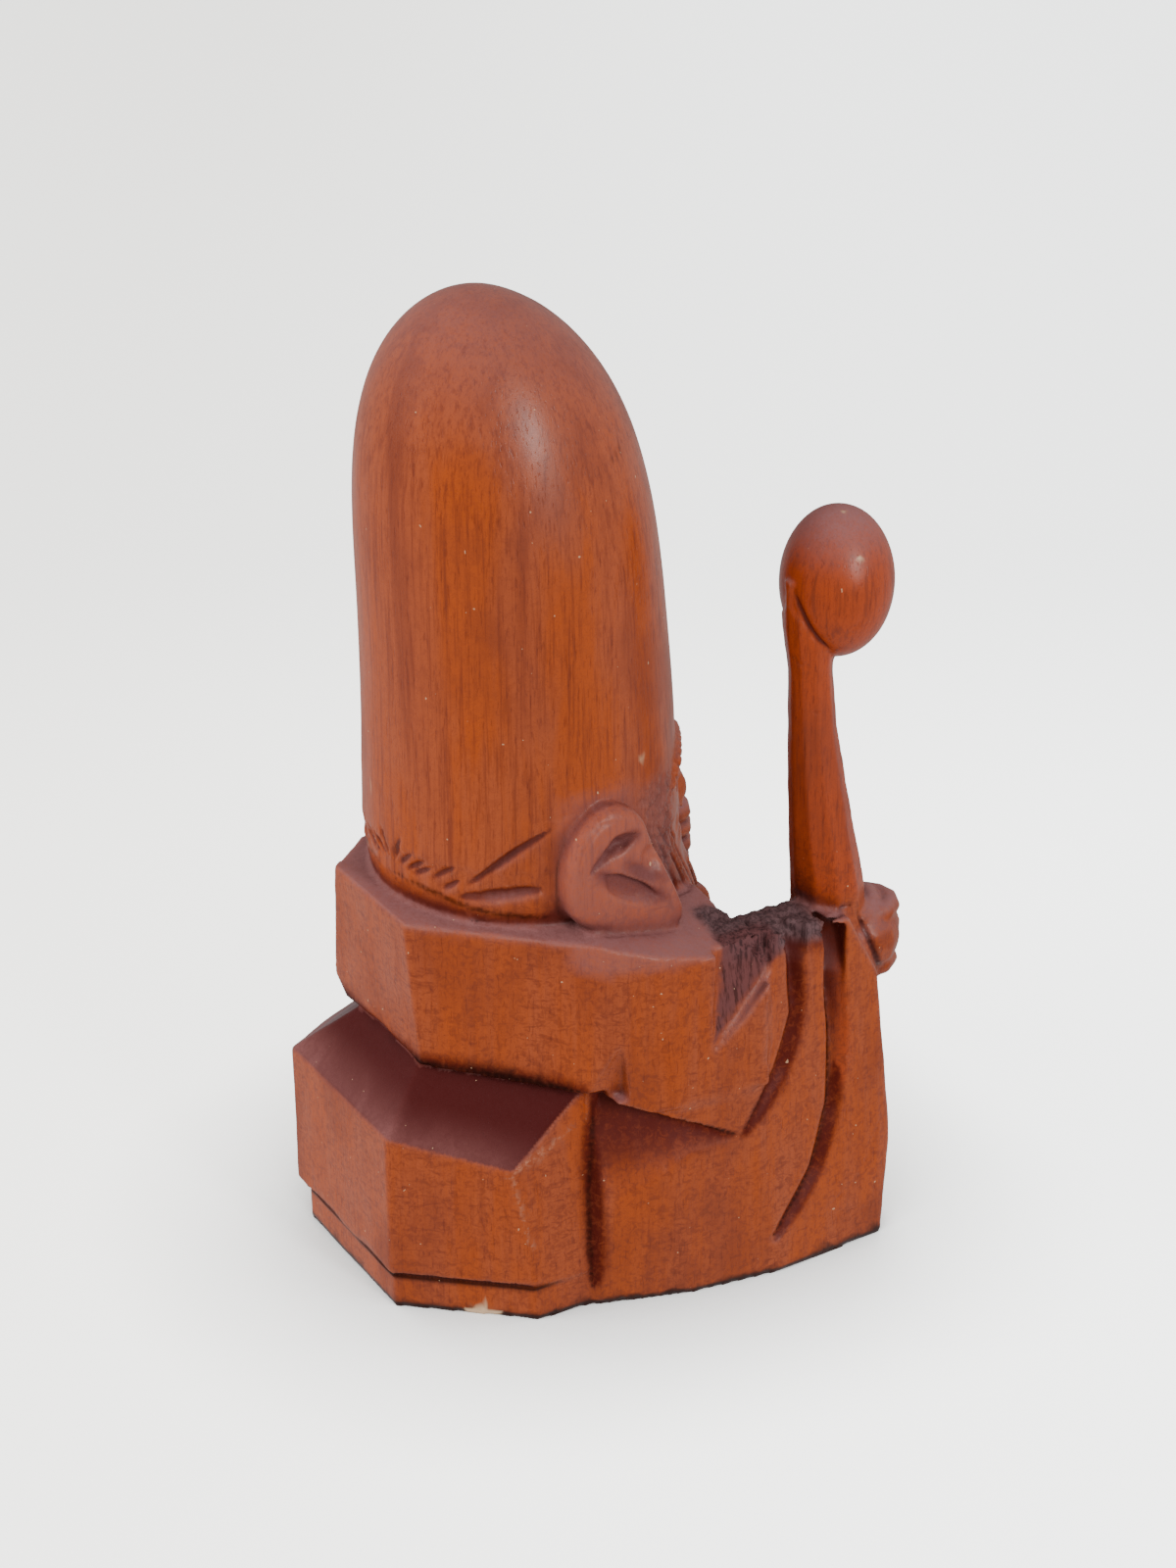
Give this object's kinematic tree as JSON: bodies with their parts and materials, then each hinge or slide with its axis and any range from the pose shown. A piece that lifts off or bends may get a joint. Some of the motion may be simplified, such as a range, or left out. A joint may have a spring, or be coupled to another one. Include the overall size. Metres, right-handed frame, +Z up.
{
  "type": "carved wooden deity figure",
  "caption": "Small carved wooden figure of a tall-headed god of good fortune, seated in a faceted robe, a knobbed staff in the right hand",
  "frame": {"origin": "centre of the footprint, on the floor", "axes": "+Z up, the face looks along -Y, the figure's own right hand and its staff at -X"},
  "size_m": [0.0874, 0.0976, 0.1787],
  "materials": {
    "wood": "satin stained reddish brown, dusty in the recesses"
  },
  "bodies": {
    "root": {"carved_figure": "wood"}
  },
  "joints": []
}
